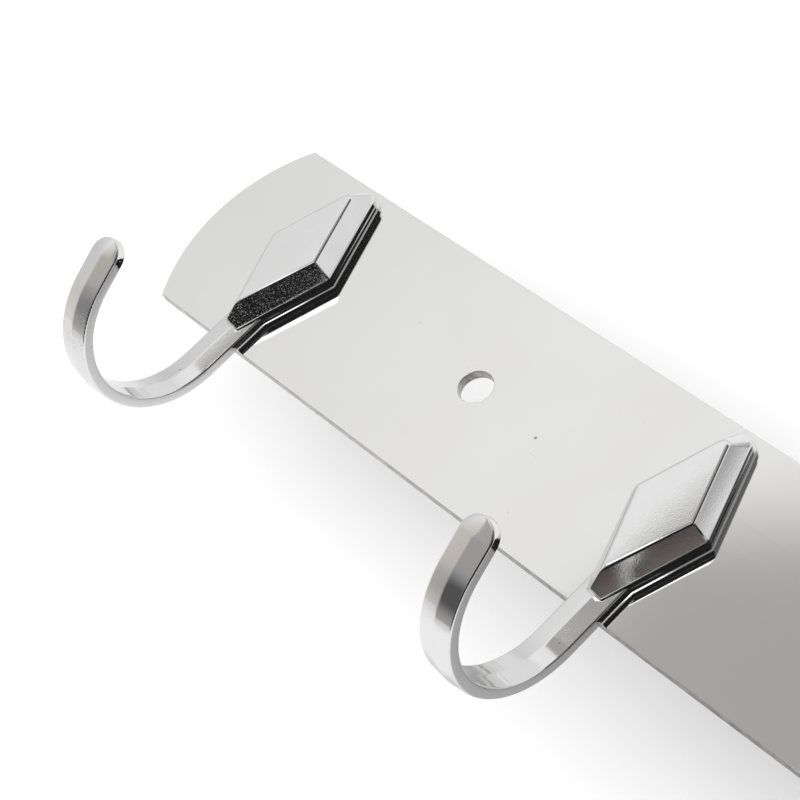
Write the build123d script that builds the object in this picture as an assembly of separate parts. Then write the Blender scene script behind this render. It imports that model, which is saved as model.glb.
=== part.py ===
from build123d import *
import math
import os

# Coat hook rack: a polished steel strip with a row of cast hooks, each held by a screw from behind.
# All lengths are in millimetres. +X runs along the rack, +Y points into the wall, +Z points up.
# The origin is the middle of the strip's back face, which lies on the wall.

# Strip
hook_count = 5
hook_spacing = 70.0
plate_width = 30.0
plate_thickness = 1.5
end_margin = 15.0
end_arc_rise = 4.6
plate_edge_chamfer = 0.12
wall_hole_diameter = 4.8

# Head of a hook, a long rhombus with bevelled sides
head_half_width = 6.2
head_half_length = 16.5
head_wall_height = 1.9
head_bevel_height = 2.7
head_bevel_inset = 1.55
head_tip_cut = 3.15
head_lower_trim = 3.3
head_corner_flat = 0.3
foot_step = 0.4
foot_height = 0.55
face_setback = 1.1
face_tip_cut = 0.8
rim_tip_cut = 1.0
rim_height = 0.25
rim_inset = 0.3
tip_ease_share = 0.23

# Arm of a hook, six-sided in section with a low ridge along its front and back
arm_root = 5.0
arm_half_width = 2.5
arm_edge_thickness = 1.5
arm_ridge_height = 0.25
arm_edge_chamfer = 0.3
bend_radius = 12.0
bend_below_plate = 4.9
leg_flare_angle = 26.0
leg_length = 6.2
arm_under_gap = 0.2

# Countersunk screw that holds each hook to the strip
screw_height = 2.0
screw_diameter = 4.0
screw_head_diameter = 6.0
screw_length = 4.6
screw_recess_depth = 0.7
screw_recess_width = 0.8
screw_recess_span = 3.2
screw_sink = 0.05
screw_hole_clearance = 0.2
thread_clearance = 0.05
screw_end_clearance = 0.3

# Locating lug cast on the back of each hook, which keeps it from turning
lug_drop = 7.0
lug_width = 2.4
lug_length = 3.2
lug_clearance = 0.05
lug_sink = 0.2

plate_front = -plate_thickness
hook_xs = [(i - (hook_count - 1) / 2) * hook_spacing for i in range(hook_count)]
wall_hole_xs = [hook_xs[0] + hook_spacing / 2, hook_xs[-1] - hook_spacing / 2]
front_face = Plane((0, plate_front, 0), x_dir=(1, 0, 0), z_dir=(0, -1, 0))
back_face = Plane((0, 0, 0), x_dir=(1, 0, 0), z_dir=(0, -1, 0))


def make_plate():
    # Strip with a bowed edge at each end, wall screw holes, and a countersunk hole and a slot for each hook
    half = hook_xs[-1] + end_margin
    top = plate_width / 2
    upper = Line((-half, top), (half, top))
    right = ThreePointArc((half, top), (half + end_arc_rise, 0), (half, -top))
    lower = Line((half, -top), (-half, -top))
    left = ThreePointArc((-half, -top), (-half - end_arc_rise, 0), (-half, top))
    outline = make_face([upper, right, lower, left])
    plate = extrude(back_face * outline, amount=plate_thickness)
    rim = plate.faces().sort_by(Axis.Y)[0].outer_wire().edges()
    plate = chamfer(rim, plate_edge_chamfer)
    for x in wall_hole_xs:
        plate -= extrude(back_face * Pos(x, 0) * Circle(wall_hole_diameter / 2), amount=plate_thickness)
    for x in hook_xs:
        plate -= Pos(x, 0, screw_height) * screw_hole()
        slot = Rectangle(lug_width + 2 * lug_clearance, lug_length + 2 * lug_clearance)
        plate -= extrude(back_face * Pos(x, -lug_drop) * slot, amount=plate_thickness)
    return plate


def cone_height():
    return (screw_head_diameter - screw_diameter) / 2


def screw_hole():
    # Countersink from the back face, then a clearance hole through the strip
    seat_radius = screw_head_diameter / 2 + screw_sink
    hole_radius = screw_diameter / 2 + screw_hole_clearance
    profile = Polyline(
        (0, 0),
        (seat_radius, 0),
        (hole_radius, hole_radius - seat_radius),
        (hole_radius, -plate_thickness),
        (0, -plate_thickness),
        close=True,
    )
    return revolve(make_face(profile), axis=Axis.Y)


def make_screw():
    # Countersunk screw along -Y with a cross recess, sunk just under the back face
    head_radius = screw_head_diameter / 2
    shank_radius = screw_diameter / 2
    top = -screw_sink
    profile = Polyline(
        (0, top),
        (head_radius, top),
        (shank_radius, top - cone_height()),
        (shank_radius, top - screw_length),
        (0, top - screw_length),
        close=True,
    )
    screw = revolve(make_face(profile), axis=Axis.Y)
    span, width = screw_recess_span, screw_recess_width
    for span_x, span_z in ((span, width), (width, span)):
        screw -= Pos(0, top - screw_recess_depth / 2, 0) * Box(span_x, screw_recess_depth, span_z)
    return screw


def rhombus(inset, setback, tip_cut):
    # Long rhombus with its upper tip eased by three flats, its lower tip set back and small corner flats
    tip_angle = math.atan2(head_half_width, head_half_length)
    half_width = head_half_width - inset / math.cos(tip_angle)
    half_length = head_half_length - inset / math.sin(tip_angle)
    points = [(half_width, 0), (0, half_length), (-half_width, 0), (0, setback - half_length)]
    outline = make_face(Polyline(*points, close=True))
    outline = chamfer(outline.vertices().sort_by(Axis.Y)[:3], head_corner_flat)
    outline = chamfer(outline.vertices().sort_by(Axis.Y)[-1], tip_cut)
    return chamfer(outline.vertices().sort_by(Axis.Y)[-2:], tip_ease_share * tip_cut)


def make_head():
    # Upright wall, four bevels, and a narrow rim that leads to the smaller flat rhombus in front
    rim_share = (head_bevel_height - rim_height) / head_bevel_height
    base = rhombus(0, 0, head_tip_cut)
    rim = rhombus(head_bevel_inset * rim_share, face_setback * rim_share, rim_tip_cut)
    face = rhombus(head_bevel_inset + rim_inset, face_setback, face_tip_cut)
    wall_plane = front_face.offset(head_wall_height)
    face_plane = wall_plane.offset(head_bevel_height)
    rim_plane = face_plane.offset(-rim_height)
    wall = extrude(front_face * base, amount=head_wall_height)
    bevel = loft([wall_plane * base, rim_plane * rim, face_plane * face], ruled=True)
    head = wall + bevel
    # The lower tip is cut off square above the arm
    below = Box(4 * head_half_width, 4 * (head_wall_height + head_bevel_height), 2 * head_half_length)
    return head - Pos(0, plate_front, head_lower_trim - 2 * head_half_length) * below


def make_foot():
    # Low step around the head and the shank, down to the strip's lower edge
    tip_angle = math.atan2(head_half_width, head_half_length)
    tip_cut = head_tip_cut + foot_step * (1 / math.sin(tip_angle) - 1) / math.cos(tip_angle)
    edge = -plate_width / 2
    shank = Rectangle(2 * (arm_half_width + foot_step), plate_width / 2 - arm_root)
    outline = rhombus(-foot_step, 0, tip_cut) + Pos(0, (edge - arm_root) / 2) * shank
    outline -= Pos(0, edge - plate_width / 2) * Rectangle(plate_width, plate_width)
    return extrude(front_face * outline, amount=foot_height)


def make_arm():
    # Profile in the upright middle plane, drawn out to both sides with a taper that leaves a ridge
    inner_radius = bend_radius - arm_ridge_height
    outer_radius = bend_radius + arm_edge_thickness + arm_ridge_height
    centre_y = plate_front - arm_edge_thickness - bend_radius
    centre_z = -plate_width / 2 - bend_below_plate
    start_z = -arm_root
    sweep = 180 - leg_flare_angle
    flare = math.radians(leg_flare_angle)
    leg = Vector(-math.sin(flare), math.cos(flare)) * (leg_length + arm_half_width)
    inner_arc = CenterArc((centre_y, centre_z), inner_radius, 0, -sweep)
    outer_arc = CenterArc((centre_y, centre_z), outer_radius, 0, -sweep)
    inner_end = inner_arc @ 1
    outer_end = outer_arc @ 1
    inner_leg = Line(inner_end, inner_end + leg)
    outer_leg = Line(outer_end, outer_end + leg)
    tip = Line(inner_leg @ 1, outer_leg @ 1)
    shank_front = Line((centre_y + inner_radius, start_z), inner_arc @ 0)
    shank_back = Line((centre_y + outer_radius, start_z), outer_arc @ 0)
    top = Line(shank_front @ 0, shank_back @ 0)
    outline = make_face([top, shank_front, inner_arc, inner_leg, tip, outer_leg, outer_arc, shank_back])
    taper = math.degrees(math.atan2(arm_ridge_height, arm_half_width))
    half = extrude(Plane.YZ * outline, amount=arm_half_width, taper=taper)
    arm = half + mirror(half, about=Plane.YZ)
    # Half-round end, seen square on to the leg
    mid_radius = (inner_radius + outer_radius) / 2
    mid_y = centre_y - mid_radius * math.cos(flare)
    mid_z = centre_z - mid_radius * math.sin(flare)
    round_y = mid_y - (leg_length - arm_half_width) * math.sin(flare)
    round_z = mid_z + (leg_length - arm_half_width) * math.cos(flare)
    leg_plane = Plane((0, round_y, round_z), x_dir=(1, 0, 0), z_dir=(0, -math.cos(flare), -math.sin(flare)))
    deep = 2 * (arm_edge_thickness + 2 * arm_ridge_height)
    block = 4 * arm_half_width
    beyond = Pos(0, block / 2) * Rectangle(block, block) - Circle(arm_half_width)
    arm -= extrude(leg_plane * beyond, amount=deep, both=True)
    long_edges = [
        e for e in arm.edges()
        if abs(e.center().X) > 0.6 * arm_half_width and e.length > 1.1 * arm_edge_thickness
    ]
    arm = chamfer(long_edges, arm_edge_chamfer)
    # The back is flat where it lies on the strip and ridged below it
    reach = outer_radius
    seat_bottom = -plate_width / 2 - arm_under_gap
    seat = Pos(0, plate_front + reach / 2, seat_bottom + reach) * Box(4 * arm_half_width, reach, 2 * reach)
    arm -= seat
    return arm


def make_hook():
    # Head, foot and arm in one casting, with a blind hole for the screw and a lug behind
    hook = make_head() + make_foot() + make_arm()
    depth = screw_length + screw_sink - plate_thickness + screw_end_clearance
    bore = Circle(screw_diameter / 2 + thread_clearance)
    lug = Rectangle(lug_width, lug_length)
    hook -= extrude(front_face * Pos(0, screw_height) * bore, amount=depth)
    hook += extrude(front_face * Pos(0, -lug_drop) * lug, amount=lug_sink - plate_thickness)
    return hook


os.makedirs("parts", exist_ok=True)
plate = make_plate()
hook = make_hook()
screw = make_screw()
export_step(plate, "parts/back_plate.step")
for i, x in enumerate(hook_xs, start=1):
    export_step(Pos(x, 0, 0) * hook, f"parts/hook_{i}.step")
    export_step(Pos(x, 0, screw_height) * screw, f"parts/screw_{i}.step")
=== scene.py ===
import math

import bmesh
import bpy
from mathutils import Matrix, Vector


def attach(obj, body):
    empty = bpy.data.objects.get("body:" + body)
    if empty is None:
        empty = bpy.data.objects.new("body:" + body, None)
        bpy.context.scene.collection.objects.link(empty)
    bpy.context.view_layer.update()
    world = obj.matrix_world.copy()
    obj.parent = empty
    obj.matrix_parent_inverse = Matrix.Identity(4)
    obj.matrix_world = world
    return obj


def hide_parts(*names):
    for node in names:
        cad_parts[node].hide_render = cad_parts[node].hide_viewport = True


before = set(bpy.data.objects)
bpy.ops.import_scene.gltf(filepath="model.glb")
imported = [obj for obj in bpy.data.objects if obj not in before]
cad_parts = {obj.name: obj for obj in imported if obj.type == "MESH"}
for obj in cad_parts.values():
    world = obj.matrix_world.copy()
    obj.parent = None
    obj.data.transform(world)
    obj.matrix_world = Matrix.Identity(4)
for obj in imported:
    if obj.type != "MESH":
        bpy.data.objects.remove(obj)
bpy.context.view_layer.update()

# Coat hook rack: a polished strip, a row of chromed hooks and the screws behind it. Lengths are in metres.

MM = 0.001

# Strip
hook_count = 5
hook_spacing = 70 * MM
plate_width = 30 * MM
plate_thickness = 1.5 * MM
end_margin = 15 * MM
end_arc_rise = 4.6 * MM
plate_edge_round = 0.1 * MM
wall_hole_radius = 2.4 * MM
wall_hole_x = 105 * MM
screw_seat_radius = 3.05 * MM
screw_height = 2.0 * MM
lug_slot = (2.5 * MM, 3.3 * MM)
lug_drop = 7.0 * MM
plate_front = -plate_thickness
hook_xs = [(i - (hook_count - 1) / 2) * hook_spacing for i in range(hook_count)]

# Head of a hook
head_half_width = 6.2 * MM
head_half_length = 16.5 * MM
head_wall_height = 1.9 * MM
head_bevel_height = 2.7 * MM
head_bevel_inset = 1.55 * MM
head_upper_radius = 1.6 * MM
head_lower_trim = 3.3 * MM
face_upper_radius = 0.4 * MM
face_setback = 1.1 * MM
head_edge_round = 0.2 * MM
rim_width = 0.4 * MM
rim_height = 0.09 * MM
foot_step = 0.4 * MM
foot_height = 0.48 * MM
foot_slope = 0.07 * MM
foot_edge_round = 0.03 * MM
tip_segments = 12
foot_ledge_share = 0.45
foot_overlap_share = 0.1
crisp_angle = math.radians(13)

# Arm of a hook
arm_root = 5.0 * MM
arm_half_width = 2.5 * MM
arm_edge_thickness = 1.5 * MM
arm_ridge_height = 0.25 * MM
arm_edge_round = 0.3 * MM
arm_ridge_round = 1.6 * MM
bend_radius = 12.0 * MM
bend_below_plate = 4.9 * MM
leg_flare = math.radians(26)
leg_length = 6.2 * MM
arm_under_gap = 0.2 * MM
path_rings = 150
tip_rings = 14
tip_ring_step = 0.1 * MM
crease_angle = math.radians(48)


# Small helpers for node trees

def add_node(tree, kind, **settings):
    node = tree.nodes.new(kind)
    for name, value in settings.items():
        setattr(node, name, value)
    return node


def feed(tree, socket, value):
    if isinstance(value, bpy.types.NodeSocket):
        tree.links.new(value, socket)
    else:
        socket.default_value = value


def calc(tree, operation, first, second=0.0, third=0.0):
    node = add_node(tree, "ShaderNodeMath", operation=operation)
    for socket, value in zip(node.inputs, (first, second, third)):
        feed(tree, socket, value)
    return node.outputs[0]


def product(tree, first, second):
    return calc(tree, "MULTIPLY", first, second)


def opposite(tree, share):
    return calc(tree, "SUBTRACT", 1.0, share)


def split(tree, vector):
    node = add_node(tree, "ShaderNodeSeparateXYZ")
    feed(tree, node.inputs[0], vector)
    return node.outputs


def join(tree, x, y, z):
    node = add_node(tree, "ShaderNodeCombineXYZ")
    for socket, value in zip(node.inputs, (x, y, z)):
        feed(tree, socket, value)
    return node.outputs[0]


def coordinates(tree, kind):
    return add_node(tree, "ShaderNodeTexCoord").outputs[kind]


def distance_from(tree, place, point):
    node = add_node(tree, "ShaderNodeVectorMath", operation="DISTANCE")
    feed(tree, node.inputs[0], place)
    node.inputs[1].default_value = point
    return node.outputs["Value"]


def smooth_step(tree, value, low, high):
    node = add_node(tree, "ShaderNodeMapRange", interpolation_type="SMOOTHSTEP")
    feed(tree, node.inputs["Value"], value)
    feed(tree, node.inputs["From Min"], low)
    feed(tree, node.inputs["From Max"], high)
    return node.outputs["Result"]


def in_span(tree, value, low, high, soft):
    rise = smooth_step(tree, value, low - soft, low + soft)
    fall = smooth_step(tree, value, high - soft, high + soft)
    return calc(tree, "SUBTRACT", rise, fall)


def mix_colour(tree, share, first, second):
    node = add_node(tree, "ShaderNodeMix", data_type="RGBA")
    feed(tree, node.inputs[0], share)
    feed(tree, node.inputs[6], first)
    feed(tree, node.inputs[7], second)
    return node.outputs[2]


def mix_value(tree, share, first, second):
    node = add_node(tree, "ShaderNodeMix", data_type="FLOAT")
    feed(tree, node.inputs[0], share)
    feed(tree, node.inputs[2], first)
    feed(tree, node.inputs[3], second)
    return node.outputs[0]


def grey(level, warmth=0.0):
    return (level * (1 + warmth), level, level * (1 - warmth), 1.0)


# Shared surface effects

def open_group(tree, inputs, outputs):
    # Gives a group its sockets, with the place on the surface as the last input
    for name, default in inputs:
        socket = tree.interface.new_socket(name, in_out="INPUT", socket_type="NodeSocketFloat")
        socket.default_value = default
    tree.interface.new_socket("Vector", in_out="INPUT", socket_type="NodeSocketVector")
    for name in outputs:
        tree.interface.new_socket(name, in_out="OUTPUT", socket_type="NodeSocketFloat")
    return add_node(tree, "NodeGroupInput").outputs, add_node(tree, "NodeGroupOutput").inputs


def make_polish_marks():
    # Cloudy haze, tiny dark specks and short hairline scratches left by polishing and handling
    tree = bpy.data.node_groups.new("polish_marks", "ShaderNodeTree")
    inputs = (
        ("Speck Scale", 170.0), ("Speck Share", 0.12), ("Speck Size", 0.06),
        ("Scratch Scale", 130.0), ("Scratch Share", 0.3), ("Haze Scale", 60.0),
    )
    source, result = open_group(tree, inputs, ("Specks", "Scratches", "Haze"))

    cells = add_node(tree, "ShaderNodeTexVoronoi", feature="F1")
    feed(tree, cells.inputs["Vector"], source["Vector"])
    feed(tree, cells.inputs["Scale"], source["Speck Scale"])
    parts = add_node(tree, "ShaderNodeSeparateColor")
    feed(tree, parts.inputs[0], cells.outputs["Color"])
    size = product(tree, source["Speck Size"], calc(tree, "ADD", parts.outputs[1], 0.25))
    core = product(tree, size, 0.55)
    dot = opposite(tree, smooth_step(tree, cells.outputs["Distance"], core, size))
    chosen = calc(tree, "LESS_THAN", parts.outputs[0], source["Speck Share"])
    feed(tree, result["Specks"], product(tree, dot, chosen))

    marks = []
    for turn, shift in ((0.5, 3.1), (1.9, 7.7), (2.7, 11.3)):
        turned = add_node(tree, "ShaderNodeMapping")
        feed(tree, turned.inputs["Vector"], source["Vector"])
        turned.inputs["Location"].default_value = (shift, 0.0, shift)
        turned.inputs["Rotation"].default_value = (0.0, turn, 0.0)
        turned.inputs["Scale"].default_value = (0.16, 1.0, 2.6)
        lines = add_node(tree, "ShaderNodeTexVoronoi", feature="F1")
        feed(tree, lines.inputs["Vector"], turned.outputs[0])
        feed(tree, lines.inputs["Scale"], source["Scratch Scale"])
        shade = add_node(tree, "ShaderNodeSeparateColor")
        feed(tree, shade.inputs[0], lines.outputs["Color"])
        near = opposite(tree, smooth_step(tree, lines.outputs["Distance"], 0.02, 0.07))
        kept = calc(tree, "LESS_THAN", shade.outputs[0], source["Scratch Share"])
        marks.append(product(tree, near, kept))
    both = calc(tree, "MAXIMUM", marks[0], marks[1])
    feed(tree, result["Scratches"], calc(tree, "MAXIMUM", both, marks[2]))

    cloud = add_node(tree, "ShaderNodeTexNoise")
    feed(tree, cloud.inputs["Vector"], source["Vector"])
    feed(tree, cloud.inputs["Scale"], source["Haze Scale"])
    cloud.inputs["Detail"].default_value = 5.0
    feed(tree, result["Haze"], smooth_step(tree, cloud.outputs["Fac"], 0.3, 0.7))
    return tree


def make_cast_grain():
    # Fine grain and small pits of a casting under its plating
    tree = bpy.data.node_groups.new("cast_grain", "ShaderNodeTree")
    inputs = (("Grain Scale", 5200.0), ("Pit Scale", 420.0), ("Pit Share", 0.05))
    source, result = open_group(tree, inputs, ("Height", "Pits"))
    grain = add_node(tree, "ShaderNodeTexNoise")
    feed(tree, grain.inputs["Vector"], source["Vector"])
    feed(tree, grain.inputs["Scale"], source["Grain Scale"])
    grain.inputs["Detail"].default_value = 2.0
    cells = add_node(tree, "ShaderNodeTexVoronoi", feature="F1")
    feed(tree, cells.inputs["Vector"], source["Vector"])
    feed(tree, cells.inputs["Scale"], source["Pit Scale"])
    parts = add_node(tree, "ShaderNodeSeparateColor")
    feed(tree, parts.inputs[0], cells.outputs["Color"])
    hollow = opposite(tree, smooth_step(tree, cells.outputs["Distance"], 0.04, 0.14))
    pits = product(tree, hollow, calc(tree, "LESS_THAN", parts.outputs[2], source["Pit Share"]))
    feed(tree, result["Pits"], pits)
    height = calc(tree, "SUBTRACT", grain.outputs["Fac"], product(tree, pits, 2.0))
    feed(tree, result["Height"], height)
    return tree


polish_marks = make_polish_marks()
cast_grain = make_cast_grain()


def start_material(name):
    material = bpy.data.materials.new(name)
    material.use_nodes = True
    tree = material.node_tree
    tree.nodes.clear()
    shader = add_node(tree, "ShaderNodeBsdfPrincipled")
    output = add_node(tree, "ShaderNodeOutputMaterial")
    tree.links.new(shader.outputs[0], output.inputs[0])
    shader.inputs["Metallic"].default_value = 1.0
    return material, tree, shader, coordinates(tree, "Object")


def add_group(tree, group, place, **values):
    node = add_node(tree, "ShaderNodeGroup", node_tree=group)
    feed(tree, node.inputs["Vector"], place)
    for name, value in values.items():
        node.inputs[name.replace("_", " ")].default_value = value
    return node.outputs


def add_bump(tree, shader, height, strength, distance):
    bump = add_node(tree, "ShaderNodeBump")
    bump.inputs["Strength"].default_value = strength
    bump.inputs["Distance"].default_value = distance
    feed(tree, bump.inputs["Height"], height)
    feed(tree, shader.inputs["Normal"], bump.outputs[0])


def make_polished_steel():
    material, tree, shader, place = start_material("polished_steel")
    marks = add_group(tree, polish_marks, place, Speck_Scale=150.0, Speck_Share=0.10, Speck_Size=0.04,
                      Scratch_Scale=90.0, Scratch_Share=0.10, Haze_Scale=45.0)
    dust = add_group(tree, polish_marks, place, Speck_Scale=420.0, Speck_Share=0.13, Speck_Size=0.07,
                     Scratch_Scale=300.0, Scratch_Share=0.05, Haze_Scale=900.0)
    specks = calc(tree, "MAXIMUM", marks["Specks"], product(tree, dust["Specks"], 0.45))
    scratches = calc(tree, "MAXIMUM", marks["Scratches"], dust["Scratches"])
    hazed = mix_colour(tree, marks["Haze"], grey(0.78, 0.004), grey(0.76, 0.008))
    scratched = mix_colour(tree, product(tree, scratches, 0.22), hazed, grey(0.50, 0.01))
    spotted = mix_colour(tree, product(tree, specks, 0.75), scratched, grey(0.20, 0.03))
    # The sheared edges are duller than the polished faces
    forward = calc(tree, "ABSOLUTE", split(tree, coordinates(tree, "Normal"))["Y"])
    edge = opposite(tree, smooth_step(tree, forward, 0.5, 0.95))
    sheared = mix_colour(tree, dust["Haze"], grey(0.60, 0.01), grey(0.36, 0.015))
    feed(tree, shader.inputs["Base Color"], mix_colour(tree, edge, spotted, sheared))
    rough = mix_value(tree, marks["Haze"], 0.05, 0.075)
    rough = calc(tree, "ADD", rough, product(tree, specks, 0.3))
    feed(tree, shader.inputs["Roughness"], mix_value(tree, edge, rough, 0.32))
    dents = calc(tree, "ADD", specks, product(tree, scratches, 0.4))
    add_bump(tree, shader, opposite(tree, dents), 0.10, 0.02 * MM)
    return material


grain_fades_from = -120 * MM
grain_fades_to = -90 * MM
pit_patch = (hook_xs[0], -3.1 * MM, -18.7 * MM)
pit_patch_inner = 0.7 * MM
pit_patch_outer = 1.6 * MM


def make_chrome():
    material, tree, shader, place = start_material("chrome_on_casting")
    marks = add_group(tree, polish_marks, place, Speck_Scale=420.0, Speck_Share=0.07, Speck_Size=0.10,
                      Scratch_Scale=260.0, Scratch_Share=0.12, Haze_Scale=210.0)
    grain = add_group(tree, cast_grain, place)
    coarse = add_group(tree, cast_grain, place, Grain_Scale=2600.0, Pit_Scale=1500.0, Pit_Share=0.55)
    # The lower bevels of the first casting are grainier than the rest
    facing = split(tree, coordinates(tree, "Normal"))
    on_bevel = in_span(tree, calc(tree, "ABSOLUTE", facing["Y"]), 0.35, 0.75, 0.1)
    downward = opposite(tree, smooth_step(tree, facing["Z"], -0.1, 0.1))
    bevel_grain = mix_value(tree, product(tree, on_bevel, downward), 0.06, 1.0)
    past_first = smooth_step(tree, split(tree, place)["X"], grain_fades_from, grain_fades_to)
    grainy = product(tree, mix_value(tree, past_first, 1.0, 0.05), bevel_grain)
    # The first casting has a patch of pits on its arm
    away = distance_from(tree, place, pit_patch)
    patch = opposite(tree, smooth_step(tree, away, pit_patch_inner, pit_patch_outer))
    pits = calc(tree, "MAXIMUM", grain["Pits"], product(tree, coarse["Pits"], patch))
    hazed = mix_colour(tree, marks["Haze"], grey(0.775, 0.0), grey(0.75, 0.002))
    scratched = mix_colour(tree, product(tree, marks["Scratches"], 0.2), hazed, grey(0.45))
    spotted = mix_colour(tree, product(tree, marks["Specks"], 0.5), scratched, grey(0.25, 0.02))
    pitted = mix_colour(tree, product(tree, pits, 0.6), spotted, grey(0.3, 0.03))
    feed(tree, shader.inputs["Base Color"], pitted)
    rough = mix_value(tree, marks["Haze"], 0.05, 0.09)
    rough = calc(tree, "ADD", rough, product(tree, pits, 0.2))
    dull = product(tree, smooth_step(tree, grain["Height"], 0.53, 0.66), grainy)
    feed(tree, shader.inputs["Roughness"], mix_value(tree, dull, rough, 0.55))
    add_bump(tree, shader, calc(tree, "SUBTRACT", grain["Height"], pits), 1.0, 0.003 * MM)
    return material


def make_zinc():
    material, tree, shader, place = start_material("zinc_plated_screw")
    marks = add_group(tree, polish_marks, place, Speck_Scale=900.0, Speck_Share=0.15, Speck_Size=0.14,
                      Scratch_Scale=700.0, Scratch_Share=0.3, Haze_Scale=500.0)
    grain = add_group(tree, cast_grain, place, Grain_Scale=3500.0, Pit_Scale=900.0, Pit_Share=0.08)
    hazed = mix_colour(tree, marks["Haze"], grey(0.66, 0.015), grey(0.54, 0.03))
    feed(tree, shader.inputs["Base Color"], mix_colour(tree, marks["Scratches"], hazed, grey(0.36, 0.02)))
    feed(tree, shader.inputs["Roughness"], mix_value(tree, marks["Haze"], 0.24, 0.38))
    add_bump(tree, shader, grain["Height"], 0.25, 0.04 * MM)
    return material


polished_steel = make_polished_steel()
chrome = make_chrome()
zinc = make_zinc()


def add_object(name, data):
    piece = bpy.data.objects.new(name, data)
    bpy.context.scene.collection.objects.link(piece)
    return piece


def evaluated_mesh(piece):
    bpy.context.view_layer.update()
    depsgraph = bpy.context.evaluated_depsgraph_get()
    return bpy.data.meshes.new_from_object(piece.evaluated_get(depsgraph), depsgraph=depsgraph)


def bake(piece):
    # The evaluated shape becomes the piece's own mesh, and its modifiers go
    mesh = evaluated_mesh(piece)
    piece.modifiers.clear()
    piece.data = mesh
    mesh.name = piece.name


def keep_flats_flat(piece):
    soft_edges = piece.modifiers.new("soft_edges", "WEIGHTED_NORMAL")
    soft_edges.mode = "FACE_AREA"
    soft_edges.weight = 50
    soft_edges.keep_sharp = True


# Strip: a flat outline with its holes, thickened and eased along its edges

def arc_points(centre, radius, start, sweep, steps):
    angles = [start + sweep * i / steps for i in range(steps + 1)]
    return [(centre[0] + radius * math.cos(a), centre[1] + radius * math.sin(a)) for a in angles]


def circle_points(x, z, radius, steps):
    return arc_points((x, z), radius, 0.0, 2 * math.pi * (steps - 1) / steps, steps - 1)


def plate_loops():
    half = hook_xs[-1] + end_margin
    top = plate_width / 2
    end_radius = (top ** 2 + end_arc_rise ** 2) / (2 * end_arc_rise)
    end_angle = math.asin(top / end_radius)
    centre_x = half + end_arc_rise - end_radius
    right = arc_points((centre_x, 0.0), end_radius, -end_angle, 2 * end_angle, 48)
    left = [(-x, -z) for x, z in right]
    loops = [right + left]
    for x in (-wall_hole_x, wall_hole_x):
        loops.append(circle_points(x, 0.0, wall_hole_radius, 72))
    for x in hook_xs:
        loops.append(circle_points(x, screw_height, screw_seat_radius, 48))
        wide, tall = lug_slot[0] / 2, lug_slot[1] / 2
        corners = ((-1, -1), (1, -1), (1, 1), (-1, 1))
        loops.append([(x + a * wide, b * tall - lug_drop) for a, b in corners])
    return loops


def make_plate():
    outline = bpy.data.curves.new("plate_outline", "CURVE")
    outline.dimensions = "2D"
    outline.fill_mode = "BOTH"
    outline.extrude = plate_thickness / 2 - plate_edge_round
    outline.bevel_depth = plate_edge_round
    outline.bevel_resolution = 2
    outline.offset = -plate_edge_round
    for loop in plate_loops():
        spline = outline.splines.new("POLY")
        spline.points.add(len(loop) - 1)
        for point, (x, z) in zip(spline.points, loop):
            point.co = (x, z, 0.0, 1.0)
        spline.use_cyclic_u = True
        spline.use_smooth = True
    sketch = add_object("plate_sketch", outline)
    mesh = evaluated_mesh(sketch)
    bpy.data.objects.remove(sketch)
    upright = Matrix(((1, 0, 0, 0), (0, 0, -1, -plate_thickness / 2), (0, 1, 0, 0), (0, 0, 0, 1)))
    mesh.transform(upright)
    shape = bmesh.new()
    shape.from_mesh(mesh)
    bmesh.ops.remove_doubles(shape, verts=shape.verts, dist=1e-7)
    bmesh.ops.recalc_face_normals(shape, faces=shape.faces)
    for face in shape.faces:
        face.smooth = True
    shape.to_mesh(mesh)
    shape.free()
    mesh.materials.clear()
    mesh.materials.append(polished_steel)
    plate = add_object("strip", mesh)
    keep_flats_flat(plate)
    bake(plate)
    return plate


# Head: a long rhombus with a thin foot, upright walls and bevels that lead to a smaller flat front

def head_outline(inset, setback, upper_radius):
    slope = math.atan2(head_half_width, head_half_length)
    wide = head_half_width - inset / math.cos(slope)
    tall = head_half_length - inset / math.sin(slope)
    centre = (0.0, tall - upper_radius / math.sin(slope))
    tip = arc_points(centre, upper_radius, slope, math.pi - 2 * slope, tip_segments)
    return [(wide, 0.0)] + tip + [(-wide, 0.0), (0.0, setback - tall)]


def foot_outline(step):
    # Step around the head and the shank, down to the strip's lower edge
    slope = math.atan2(head_half_width, head_half_length)
    wide = head_half_width + step / math.cos(slope)
    tall = head_half_length + step / math.sin(slope)
    side = arm_half_width + step
    join = tall * (side / wide - 1)
    edge = -plate_width / 2
    upper = head_outline(-step, 0.0, head_upper_radius + step)[:-1]
    return upper + [(-side, join), (-side, edge), (side, edge), (side, join)]


def add_shell(shape, levels):
    rings = []
    for outline, height in levels:
        rings.append([shape.verts.new((x, plate_front - height, z)) for x, z in outline])
    count = len(rings[0])
    for lower, upper in zip(rings, rings[1:]):
        for i in range(count):
            shape.faces.new((lower[i], lower[(i + 1) % count], upper[(i + 1) % count], upper[i]))
    shape.faces.new(rings[0])
    shape.faces.new(rings[-1])


def round_edges(shape, level, offset):
    # Rounds the crisp edges that reach further out than the level
    bmesh.ops.recalc_face_normals(shape, faces=shape.faces)
    crisp = [
        e for e in shape.edges
        if min(v.co.y for v in e.verts) < plate_front - level and e.calc_face_angle(0.0) > crisp_angle
    ]
    bmesh.ops.bevel(
        shape, geom=crisp, offset=offset, offset_type="OFFSET", segments=3, profile=0.5,
        affect="EDGES", clamp_overlap=False,
    )


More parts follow.
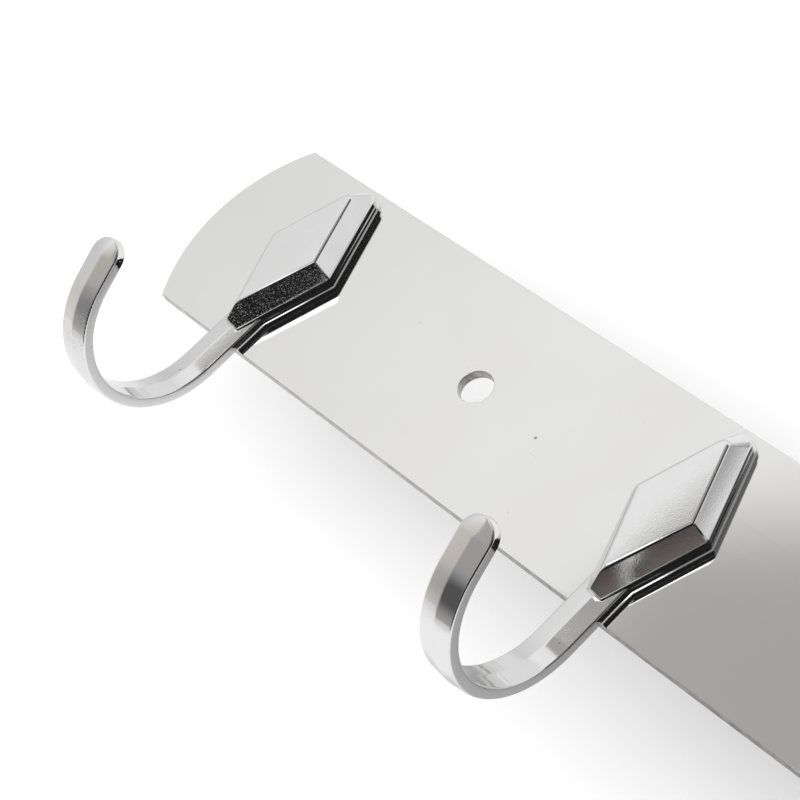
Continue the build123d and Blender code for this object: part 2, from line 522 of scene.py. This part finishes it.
def make_head_mesh():
    base = head_outline(0.0, 0.0, head_upper_radius)
    rim_share = 1 - rim_height / head_bevel_height
    rim_inset = head_bevel_inset * rim_share
    rim = head_outline(rim_inset, face_setback * rim_share, face_upper_radius + rim_width)
    face = head_outline(rim_inset + rim_width, face_setback, face_upper_radius)
    top = head_wall_height + head_bevel_height
    head = bmesh.new()
    add_shell(head, [(base, 0.0), (base, head_wall_height), (rim, top - rim_height), (face, top)])
    # The lower tip is cut off square above the arm
    lower_end = (0.0, 0.0, head_lower_trim - head_half_length)
    everything = head.verts[:] + head.edges[:] + head.faces[:]
    cut = bmesh.ops.bisect_plane(
        head, geom=everything, dist=1e-8, plane_co=lower_end, plane_no=(0, 0, -1), clear_outer=True
    )
    cut_edges = [e for e in cut["geom_cut"] if isinstance(e, bmesh.types.BMEdge)]
    bmesh.ops.contextual_create(head, geom=cut_edges)
    round_edges(head, 0.5 * head_wall_height, head_edge_round)
    mesh = bpy.data.meshes.new("head")
    head.to_mesh(mesh)
    head.free()
    foot = bmesh.new()
    outer = foot_outline(foot_step)
    ledge = foot_outline(foot_ledge_share * foot_step)
    inner = foot_outline(-foot_overlap_share * foot_step)
    ledge_height = foot_height + foot_slope
    add_shell(foot, [(outer, 0.0), (outer, foot_height), (ledge, ledge_height), (inner, ledge_height)])
    round_edges(foot, 0.5 * foot_height, foot_edge_round)
    foot.from_mesh(mesh)
    foot.to_mesh(mesh)
    foot.free()
    return mesh


# Hooks: each arm is its section drawn along a J, joined to a head and repeated along the strip

def points_at(tree):
    return split(tree, add_node(tree, "GeometryNodeInputPosition").outputs[0])


def move_points(tree, geometry, position):
    node = add_node(tree, "GeometryNodeSetPosition")
    feed(tree, node.inputs["Geometry"], geometry)
    feed(tree, node.inputs["Position"], position)
    return node


def is_more(tree, value, limit):
    node = add_node(tree, "FunctionNodeCompare", data_type="FLOAT", operation="GREATER_THAN")
    feed(tree, node.inputs[0], value)
    feed(tree, node.inputs[1], limit)
    return node.outputs[0]


def make_hook_tree():
    tree = bpy.data.node_groups.new("hook_row", "GeometryNodeTree")
    sockets = tree.interface
    sockets.new_socket("Head", in_out="INPUT", socket_type="NodeSocketGeometry")
    sizes = (
        ("Half Width", arm_half_width), ("Half Thickness", arm_edge_thickness / 2),
        ("Ridge Height", arm_ridge_height), ("Edge Round", arm_edge_round),
        ("Ridge Round", arm_ridge_round),
        ("Shank Length", plate_width / 2 + bend_below_plate - arm_root),
        ("Bend Radius", bend_radius + arm_edge_thickness / 2), ("Bend Angle", math.pi - leg_flare),
        ("Leg Length", leg_length - arm_half_width),
        ("Bend Depth", plate_front - arm_edge_thickness - bend_radius),
        ("Bend Height", -plate_width / 2 - bend_below_plate),
        ("Seat Depth", plate_front), ("Seat Bottom", -plate_width / 2 - arm_under_gap),
        ("Spacing", hook_spacing), ("First Hook", hook_xs[0]),
    )
    for name, value in sizes:
        sockets.new_socket(name, in_out="INPUT", socket_type="NodeSocketFloat").default_value = value
    sockets.new_socket("Hooks", in_out="INPUT", socket_type="NodeSocketInt").default_value = hook_count
    sockets.new_socket("Finish", in_out="INPUT", socket_type="NodeSocketMaterial")
    sockets.new_socket("Hook Row", in_out="OUTPUT", socket_type="NodeSocketGeometry")
    source = add_node(tree, "NodeGroupInput").outputs
    result = add_node(tree, "NodeGroupOutput").inputs

    # Section: a hexagon of six points moved to the flat edges and the two ridges, then rounded
    ring = add_node(tree, "GeometryNodeCurvePrimitiveCircle", mode="RADIUS")
    ring.inputs["Resolution"].default_value = 6
    ring.inputs["Radius"].default_value = 1.0
    unit = points_at(tree)
    across = calc(tree, "DIVIDE", unit["Y"], math.sin(math.pi / 3))
    across = product(tree, across, source["Half Width"])
    on_ridge = calc(tree, "GREATER_THAN", calc(tree, "ABSOLUTE", unit["X"]), 0.75)
    proud = product(tree, on_ridge, source["Ridge Height"])
    half_depth = calc(tree, "ADD", source["Half Thickness"], proud)
    through = product(tree, calc(tree, "SIGN", unit["X"]), half_depth)
    hexagon = move_points(tree, ring.outputs["Curve"], join(tree, across, through, 0.0))
    sideways = calc(tree, "ABSOLUTE", points_at(tree)["X"])
    at_edge = calc(tree, "GREATER_THAN", sideways, 0.5 * MM)
    rounded = add_node(tree, "GeometryNodeFilletCurve", mode="POLY")
    feed(tree, rounded.inputs["Curve"], hexagon.outputs[0])
    rounded.inputs["Count"].default_value = 4
    corner_round = mix_value(tree, at_edge, source["Ridge Round"], source["Edge Round"])
    feed(tree, rounded.inputs["Radius"], corner_round)
    rounded.inputs["Limit Radius"].default_value = True

    # Path: straight shank, round bend and straight leg, worked out from the length along it
    line = add_node(tree, "GeometryNodeCurvePrimitiveLine", mode="POINTS")
    points = add_node(tree, "GeometryNodeResampleCurve", mode="COUNT")
    feed(tree, points.inputs["Curve"], line.outputs[0])
    points.inputs["Count"].default_value = path_rings + tip_rings + 1
    index = add_node(tree, "GeometryNodeInputIndex").outputs[0]
    turn_length = product(tree, source["Bend Radius"], source["Bend Angle"])
    bend_end = calc(tree, "ADD", source["Shank Length"], turn_length)
    whole = calc(tree, "ADD", bend_end, source["Leg Length"])
    share = calc(tree, "MINIMUM", calc(tree, "DIVIDE", index, path_rings), 1.0)
    past_end = calc(tree, "MAXIMUM", calc(tree, "SUBTRACT", index, path_rings), 0.0)
    along = calc(tree, "MULTIPLY_ADD", share, whole, product(tree, past_end, tip_ring_step))
    past_shank = calc(tree, "SUBTRACT", along, source["Shank Length"])
    turned = calc(tree, "DIVIDE", past_shank, source["Bend Radius"])
    turned = calc(tree, "MINIMUM", calc(tree, "MAXIMUM", turned, 0.0), source["Bend Angle"])
    before = calc(tree, "MAXIMUM", calc(tree, "SUBTRACT", source["Shank Length"], along), 0.0)
    after = calc(tree, "MAXIMUM", calc(tree, "SUBTRACT", along, bend_end), 0.0)
    end_sine = calc(tree, "SINE", source["Bend Angle"])
    end_cosine = calc(tree, "COSINE", source["Bend Angle"])
    swing = calc(tree, "COSINE", turned)
    path_y = calc(tree, "MULTIPLY_ADD", source["Bend Radius"], swing, source["Bend Depth"])
    path_y = calc(tree, "SUBTRACT", path_y, product(tree, end_sine, after))
    drop = product(tree, source["Bend Radius"], calc(tree, "SINE", turned))
    path_z = calc(tree, "SUBTRACT", source["Bend Height"], drop)
    path_z = calc(tree, "ADD", path_z, before)
    path_z = calc(tree, "SUBTRACT", path_z, product(tree, end_cosine, after))
    path = move_points(tree, points.outputs[0], join(tree, 0.0, path_y, path_z))
    tag = add_node(tree, "GeometryNodeCaptureAttribute", domain="POINT")
    tag.capture_items.new("FLOAT", "Ring")
    feed(tree, tag.inputs[0], path.outputs[0])
    feed(tree, tag.inputs[1], index)
    swept = add_node(tree, "GeometryNodeCurveToMesh")
    feed(tree, swept.inputs["Curve"], tag.outputs[0])
    feed(tree, swept.inputs["Profile Curve"], rounded.outputs[0])
    swept.inputs["Fill Caps"].default_value = True

    # Tip: the last rings turn half the section about the end of the leg, which makes it half round
    ring_number = tag.outputs[1]
    past = calc(tree, "MAXIMUM", calc(tree, "SUBTRACT", ring_number, path_rings), 0.0)
    spin = product(tree, past, math.pi / 2 / tip_rings)
    at = points_at(tree)
    reach = product(tree, calc(tree, "ABSOLUTE", at["X"]), calc(tree, "SINE", spin))
    reach = calc(tree, "SUBTRACT", reach, product(tree, past, tip_ring_step))
    tip_x = product(tree, at["X"], calc(tree, "COSINE", spin))
    tip_y = calc(tree, "SUBTRACT", at["Y"], product(tree, reach, end_sine))
    tip_z = calc(tree, "SUBTRACT", at["Z"], product(tree, reach, end_cosine))
    tipped = move_points(tree, swept.outputs[0], join(tree, tip_x, tip_y, tip_z))
    last_cap = is_more(tree, ring_number, path_rings + tip_rings - 0.25)
    opened = add_node(tree, "GeometryNodeDeleteGeometry", domain="FACE", mode="ONLY_FACE")
    feed(tree, opened.inputs["Geometry"], tipped.outputs[0])
    feed(tree, opened.inputs["Selection"], last_cap)
    closed = add_node(tree, "GeometryNodeMergeByDistance")
    feed(tree, closed.inputs["Geometry"], opened.outputs[0])
    closed.inputs["Distance"].default_value = 2e-6

    # Seat: above the strip's lower edge the back of the arm is flat
    by = points_at(tree)
    pressed = calc(tree, "MINIMUM", by["Y"], source["Seat Depth"])
    seated = move_points(tree, closed.outputs[0], join(tree, by["X"], pressed, by["Z"]))
    feed(tree, seated.inputs["Selection"], is_more(tree, by["Z"], source["Seat Bottom"]))

    # One casting, then the row
    casting = add_node(tree, "GeometryNodeMeshBoolean", operation="UNION", solver="EXACT")
    feed(tree, casting.inputs["Mesh 2"], source["Head"])
    feed(tree, casting.inputs["Mesh 2"], seated.outputs[0])
    casting.inputs["Self Intersection"].default_value = True
    places = add_node(tree, "GeometryNodeMeshLine", mode="OFFSET")
    feed(tree, places.inputs["Count"], source["Hooks"])
    feed(tree, places.inputs["Start Location"], join(tree, source["First Hook"], 0.0, 0.0))
    feed(tree, places.inputs["Offset"], join(tree, source["Spacing"], 0.0, 0.0))
    row = add_node(tree, "GeometryNodeInstanceOnPoints")
    feed(tree, row.inputs["Points"], places.outputs[0])
    feed(tree, row.inputs["Instance"], casting.outputs[0])
    real = add_node(tree, "GeometryNodeRealizeInstances")
    feed(tree, real.inputs[0], row.outputs[0])
    smooth = add_node(tree, "GeometryNodeSetShadeSmooth", domain="FACE")
    feed(tree, smooth.inputs["Geometry"], real.outputs[0])
    bend = add_node(tree, "GeometryNodeInputMeshEdgeAngle").outputs["Unsigned Angle"]
    creased = add_node(tree, "GeometryNodeSetShadeSmooth", domain="EDGE")
    feed(tree, creased.inputs["Geometry"], smooth.outputs[0])
    feed(tree, creased.inputs["Selection"], is_more(tree, bend, crease_angle))
    creased.inputs["Shade Smooth"].default_value = False
    finish = add_node(tree, "GeometryNodeSetMaterial")
    feed(tree, finish.inputs["Geometry"], creased.outputs[0])
    feed(tree, finish.inputs["Material"], source["Finish"])
    feed(tree, result["Hook Row"], finish.outputs[0])
    return tree


def make_hooks():
    tree = make_hook_tree()
    hooks = add_object("hooks", make_head_mesh())
    maker = hooks.modifiers.new("hook_row", "NODES")
    maker.node_group = tree
    finish = next(s for s in tree.interface.items_tree if s.name == "Finish")
    maker[finish.identifier] = chrome
    keep_flats_flat(hooks)
    bake(hooks)
    return hooks


plate = make_plate()
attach(plate, "root")
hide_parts("back_plate")

hooks = make_hooks()
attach(hooks, "root")
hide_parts(*[f"hook_{i}" for i in range(1, hook_count + 1)])

for i in range(1, hook_count + 1):
    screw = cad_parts[f"screw_{i}"]
    screw.data.materials.clear()
    screw.data.materials.append(zinc)


# Pale ground behind the rack, clear when seen from behind

floor_gap = 18 * MM
floor_half = 4.0
ground_tone = 0.86
# Ground tones that only mirror rays see: painted reflection, with painted shade near the strip
mirrored_painted_left = 0.60
mirrored_painted_right = 0.76
mirrored_painted_far = 0.34
mirrored_painted_shade_near = 0.42
# Painted light: a faint glow painted on the ground behind the first wall hole
hole_glow_place = (-0.12, floor_gap, 0.0062)
hole_glow_inner = 3 * MM
hole_glow_outer = 14 * MM
hole_glow_strength = 0.2


def make_floor():
    material = bpy.data.materials.new("pale_ground")
    material.use_nodes = True
    tree = material.node_tree
    tree.nodes.clear()
    place = coordinates(tree, "Object")
    spot = split(tree, place)
    # Painted reflection: only mirror rays see the ground a little darker, darker still near the strip as a
    # painted shade of its shadow, and darker far off at the upper right
    rightward = smooth_step(tree, spot["X"], -0.3, -0.1)
    mirrored = mix_colour(tree, rightward, grey(mirrored_painted_left), grey(mirrored_painted_right))
    far = product(tree, smooth_step(tree, spot["Z"], 0.12, 0.2), smooth_step(tree, spot["X"], -0.05, 0.05))
    mirrored = mix_colour(tree, far, mirrored, grey(mirrored_painted_far))
    # Painted shade: mirrors see the ground darker in this band beside the strip, standing in for the
    # strip's shadow
    beside = in_span(tree, spot["Z"], -0.045, 0.005, 0.01)
    near = product(tree, beside, smooth_step(tree, spot["X"], -0.14, -0.06))
    mirrored = mix_colour(tree, near, mirrored, grey(mirrored_painted_shade_near))
    glossy = add_node(tree, "ShaderNodeLightPath").outputs["Is Glossy Ray"]
    matt = add_node(tree, "ShaderNodeBsdfDiffuse")
    feed(tree, matt.inputs["Color"], mix_colour(tree, glossy, grey(ground_tone), mirrored))
    # Painted light: the ground behind the first wall hole glows faintly, so the hole looks bright though no
    # lamp lights the ground there
    away = distance_from(tree, place, hole_glow_place)
    glow = opposite(tree, smooth_step(tree, away, hole_glow_inner, hole_glow_outer))
    painted_glow_light = add_node(tree, "ShaderNodeEmission")
    feed(tree, painted_glow_light.inputs["Strength"], product(tree, glow, hole_glow_strength))
    both = add_node(tree, "ShaderNodeAddShader")
    tree.links.new(matt.outputs[0], both.inputs[0])
    tree.links.new(painted_glow_light.outputs[0], both.inputs[1])
    clear = add_node(tree, "ShaderNodeBsdfTransparent")
    side = add_node(tree, "ShaderNodeMixShader")
    tree.links.new(add_node(tree, "ShaderNodeNewGeometry").outputs["Backfacing"], side.inputs[0])
    tree.links.new(both.outputs[0], side.inputs[1])
    tree.links.new(clear.outputs[0], side.inputs[2])
    tree.links.new(side.outputs[0], add_node(tree, "ShaderNodeOutputMaterial").inputs[0])
    mesh = bpy.data.meshes.new("ground")
    corners = [(-floor_half, floor_gap, -floor_half), (floor_half, floor_gap, -floor_half),
               (floor_half, floor_gap, floor_half), (-floor_half, floor_gap, floor_half)]
    mesh.from_pydata(corners, [], [(0, 1, 2, 3)])
    mesh.materials.append(material)
    floor = add_object("ground", mesh)


# Room that the polished metal mirrors. Directions are in degrees: around from the front, and up

def toward(around, up):
    a, h = math.radians(around), math.radians(up)
    return (math.cos(h) * math.sin(a), -math.cos(h) * math.cos(a), math.sin(h))


def degrees_from(tree, ray, around, up):
    dot = add_node(tree, "ShaderNodeVectorMath", operation="DOT_PRODUCT")
    feed(tree, dot.inputs[0], ray)
    dot.inputs[1].default_value = toward(around, up)
    cosine = calc(tree, "MINIMUM", dot.outputs["Value"], 1.0)
    return calc(tree, "DEGREES", calc(tree, "ARCCOSINE", cosine))


def add_ramp(tree, value, low, high, stops):
    node = add_node(tree, "ShaderNodeValToRGB")
    elements = node.color_ramp.elements
    while len(elements) < len(stops):
        elements.new(1.0)
    for element, (place, colour) in zip(elements, stops):
        element.position = (place - low) / (high - low)
        element.color = colour
    feed(tree, node.inputs[0], calc(tree, "DIVIDE", calc(tree, "SUBTRACT", value, low), high - low))
    return node.outputs[0]


# Tones by degrees around for the walls and the dark side, and by degrees off its middle for the low patch
bright_wall = (
    (-180, grey(0.82)), (-85, grey(0.80)), (-70, grey(0.70)), (-55, grey(0.79)), (-45, grey(0.89)),
    (-37.5, grey(0.99)), (-33, grey(1.04)), (180, grey(0.95)),
)
dark_side = (
    (-180, grey(0.5)), (-28, grey(0.47, 0.025)), (-10, grey(0.40, 0.02)), (8, grey(0.25)),
    (18, grey(0.015)), (89, grey(0.015)), (93, grey(0.2, 0.06)), (98, grey(0.8)), (104, grey(1.0)),
)
low_shade = (
    (0, grey(0.10)), (10, grey(0.10)), (20, grey(0.34)), (26, grey(0.42, 0.03)), (31, grey(0.57, 0.06)),
    (40, grey(0.73, 0.05)), (46, grey(0.95)), (60, grey(1.0)),
)


low_shade_middle = (-35, -58)
wall_slant = -0.93
ceiling_tone = 0.88
pale_upper_tone = 0.3
brown_tone = (0.32, 0.275, 0.26, 1.0)
panel_dim = 0.62
panel_full = 1.9
daylight = 1.32


def in_window(tree, around, up, around_span, up_span, around_soft, up_soft):
    across = in_span(tree, around, *around_span, around_soft)
    return product(tree, across, in_span(tree, up, *up_span, up_soft))


def make_room():
    # Bright walls, a dark side at the front right, a dark patch low in front, and one lit panel
    world = bpy.data.worlds.new("room")
    bpy.context.scene.world = world
    world.use_nodes = True
    tree = world.node_tree
    tree.nodes.clear()
    ray = coordinates(tree, "Generated")
    part = split(tree, ray)
    around = calc(tree, "ARCTAN2", part["X"], product(tree, part["Y"], -1.0))
    around = calc(tree, "DEGREES", around)
    up = calc(tree, "DEGREES", calc(tree, "ARCSINE", part["Z"]))
    path = add_node(tree, "ShaderNodeLightPath").outputs
    twice = calc(tree, "GREATER_THAN", path["Glossy Depth"], 1.5)
    walls = add_ramp(tree, around, -180, 180, bright_wall)
    shade = add_ramp(tree, around, -180, 180, dark_side)
    # The dark side is paler higher up, but not where metal shows it by way of other metal
    higher = product(tree, in_span(tree, around, 45, 80, 4.0), smooth_step(tree, up, 8, 16))
    higher = product(tree, higher, opposite(tree, twice))
    shade = mix_colour(tree, higher, shade, grey(pale_upper_tone))
    slant = calc(tree, "MULTIPLY_ADD", around, wall_slant, up)
    below = opposite(tree, smooth_step(tree, slant, 42.3, 46.9))
    darker = product(tree, below, smooth_step(tree, around, -32.6, -30.4))
    seen = mix_colour(tree, darker, walls, shade)
    seen = mix_colour(tree, smooth_step(tree, up, 40, 46), seen, grey(ceiling_tone))
    patch = add_ramp(tree, degrees_from(tree, ray, *low_shade_middle), 0, 60, low_shade)
    darkest = add_node(tree, "ShaderNodeMix", data_type="RGBA", blend_type="DARKEN")
    darkest.inputs[0].default_value = 1.0
    feed(tree, darkest.inputs[6], seen)
    feed(tree, darkest.inputs[7], patch)
    brown = product(tree, smooth_step(tree, around, 74.5, 87), in_span(tree, up, -24, -6, 1.0))
    seen = mix_colour(tree, brown, darkest.outputs[2], brown_tone)
    # The lit panel is dim low down, and full and wider where metal shows it by way of other metal
    panel = in_window(tree, around, up, (-24, 8), (-12, 10), 1.0, 0.8)
    panel_tone = mix_colour(tree, smooth_step(tree, up, 3.0, 4.5), grey(panel_dim), grey(panel_full))
    seen = mix_colour(tree, panel, seen, panel_tone)
    wide = in_window(tree, around, up, (-30, 8), (-12, 18), 1.0, 1.0)
    seen = mix_colour(tree, product(tree, twice, wide), seen, grey(panel_full))
    seen = mix_colour(tree, path["Is Glossy Ray"], grey(daylight), seen)
    seen = mix_colour(tree, path["Is Camera Ray"], seen, grey(1.0))
    back = add_node(tree, "ShaderNodeBackground")
    feed(tree, back.inputs["Color"], seen)
    tree.links.new(back.outputs[0], add_node(tree, "ShaderNodeOutputWorld").inputs[0])


key_size = 0.4
key_energy = 0.36
key_place = Vector((-0.42, -0.25, -0.22))
key_aim = Vector((hook_xs[0], 0.0, 0.0))


def make_key_light():
    lamp = bpy.data.lights.new("soft_panel", "AREA")
    lamp.shape = "DISK"
    lamp.size = key_size
    lamp.energy = key_energy
    panel = add_object("soft_panel", lamp)
    panel.location = key_place
    panel.rotation_mode = "QUATERNION"
    panel.rotation_quaternion = (key_aim - key_place).to_track_quat("-Z", "Y")
    panel.visible_glossy = False
    panel.visible_camera = False


camera_place = Vector((0.0650036, -0.2231667, -0.0709335))
camera_right = Vector((0.64307, 0.31287, 0.69898))
camera_down = Vector((0.46439, 0.56645, -0.68079))
camera_ahead = Vector((-0.60894, 0.7624, 0.21897))
camera_focal_length = 102.2456


def make_camera():
    lens = bpy.data.cameras.new("camera")
    lens.sensor_width = 36.0
    lens.lens = camera_focal_length
    lens.clip_start = 0.005
    camera = add_object("camera", lens)
    turn = Matrix((camera_right, -camera_down, -camera_ahead)).transposed()
    camera.matrix_world = Matrix.Translation(camera_place) @ turn.to_4x4()
    bpy.context.scene.camera = camera


make_floor()
make_room()
make_key_light()
make_camera()
bpy.context.scene.view_settings.view_transform = "Standard"
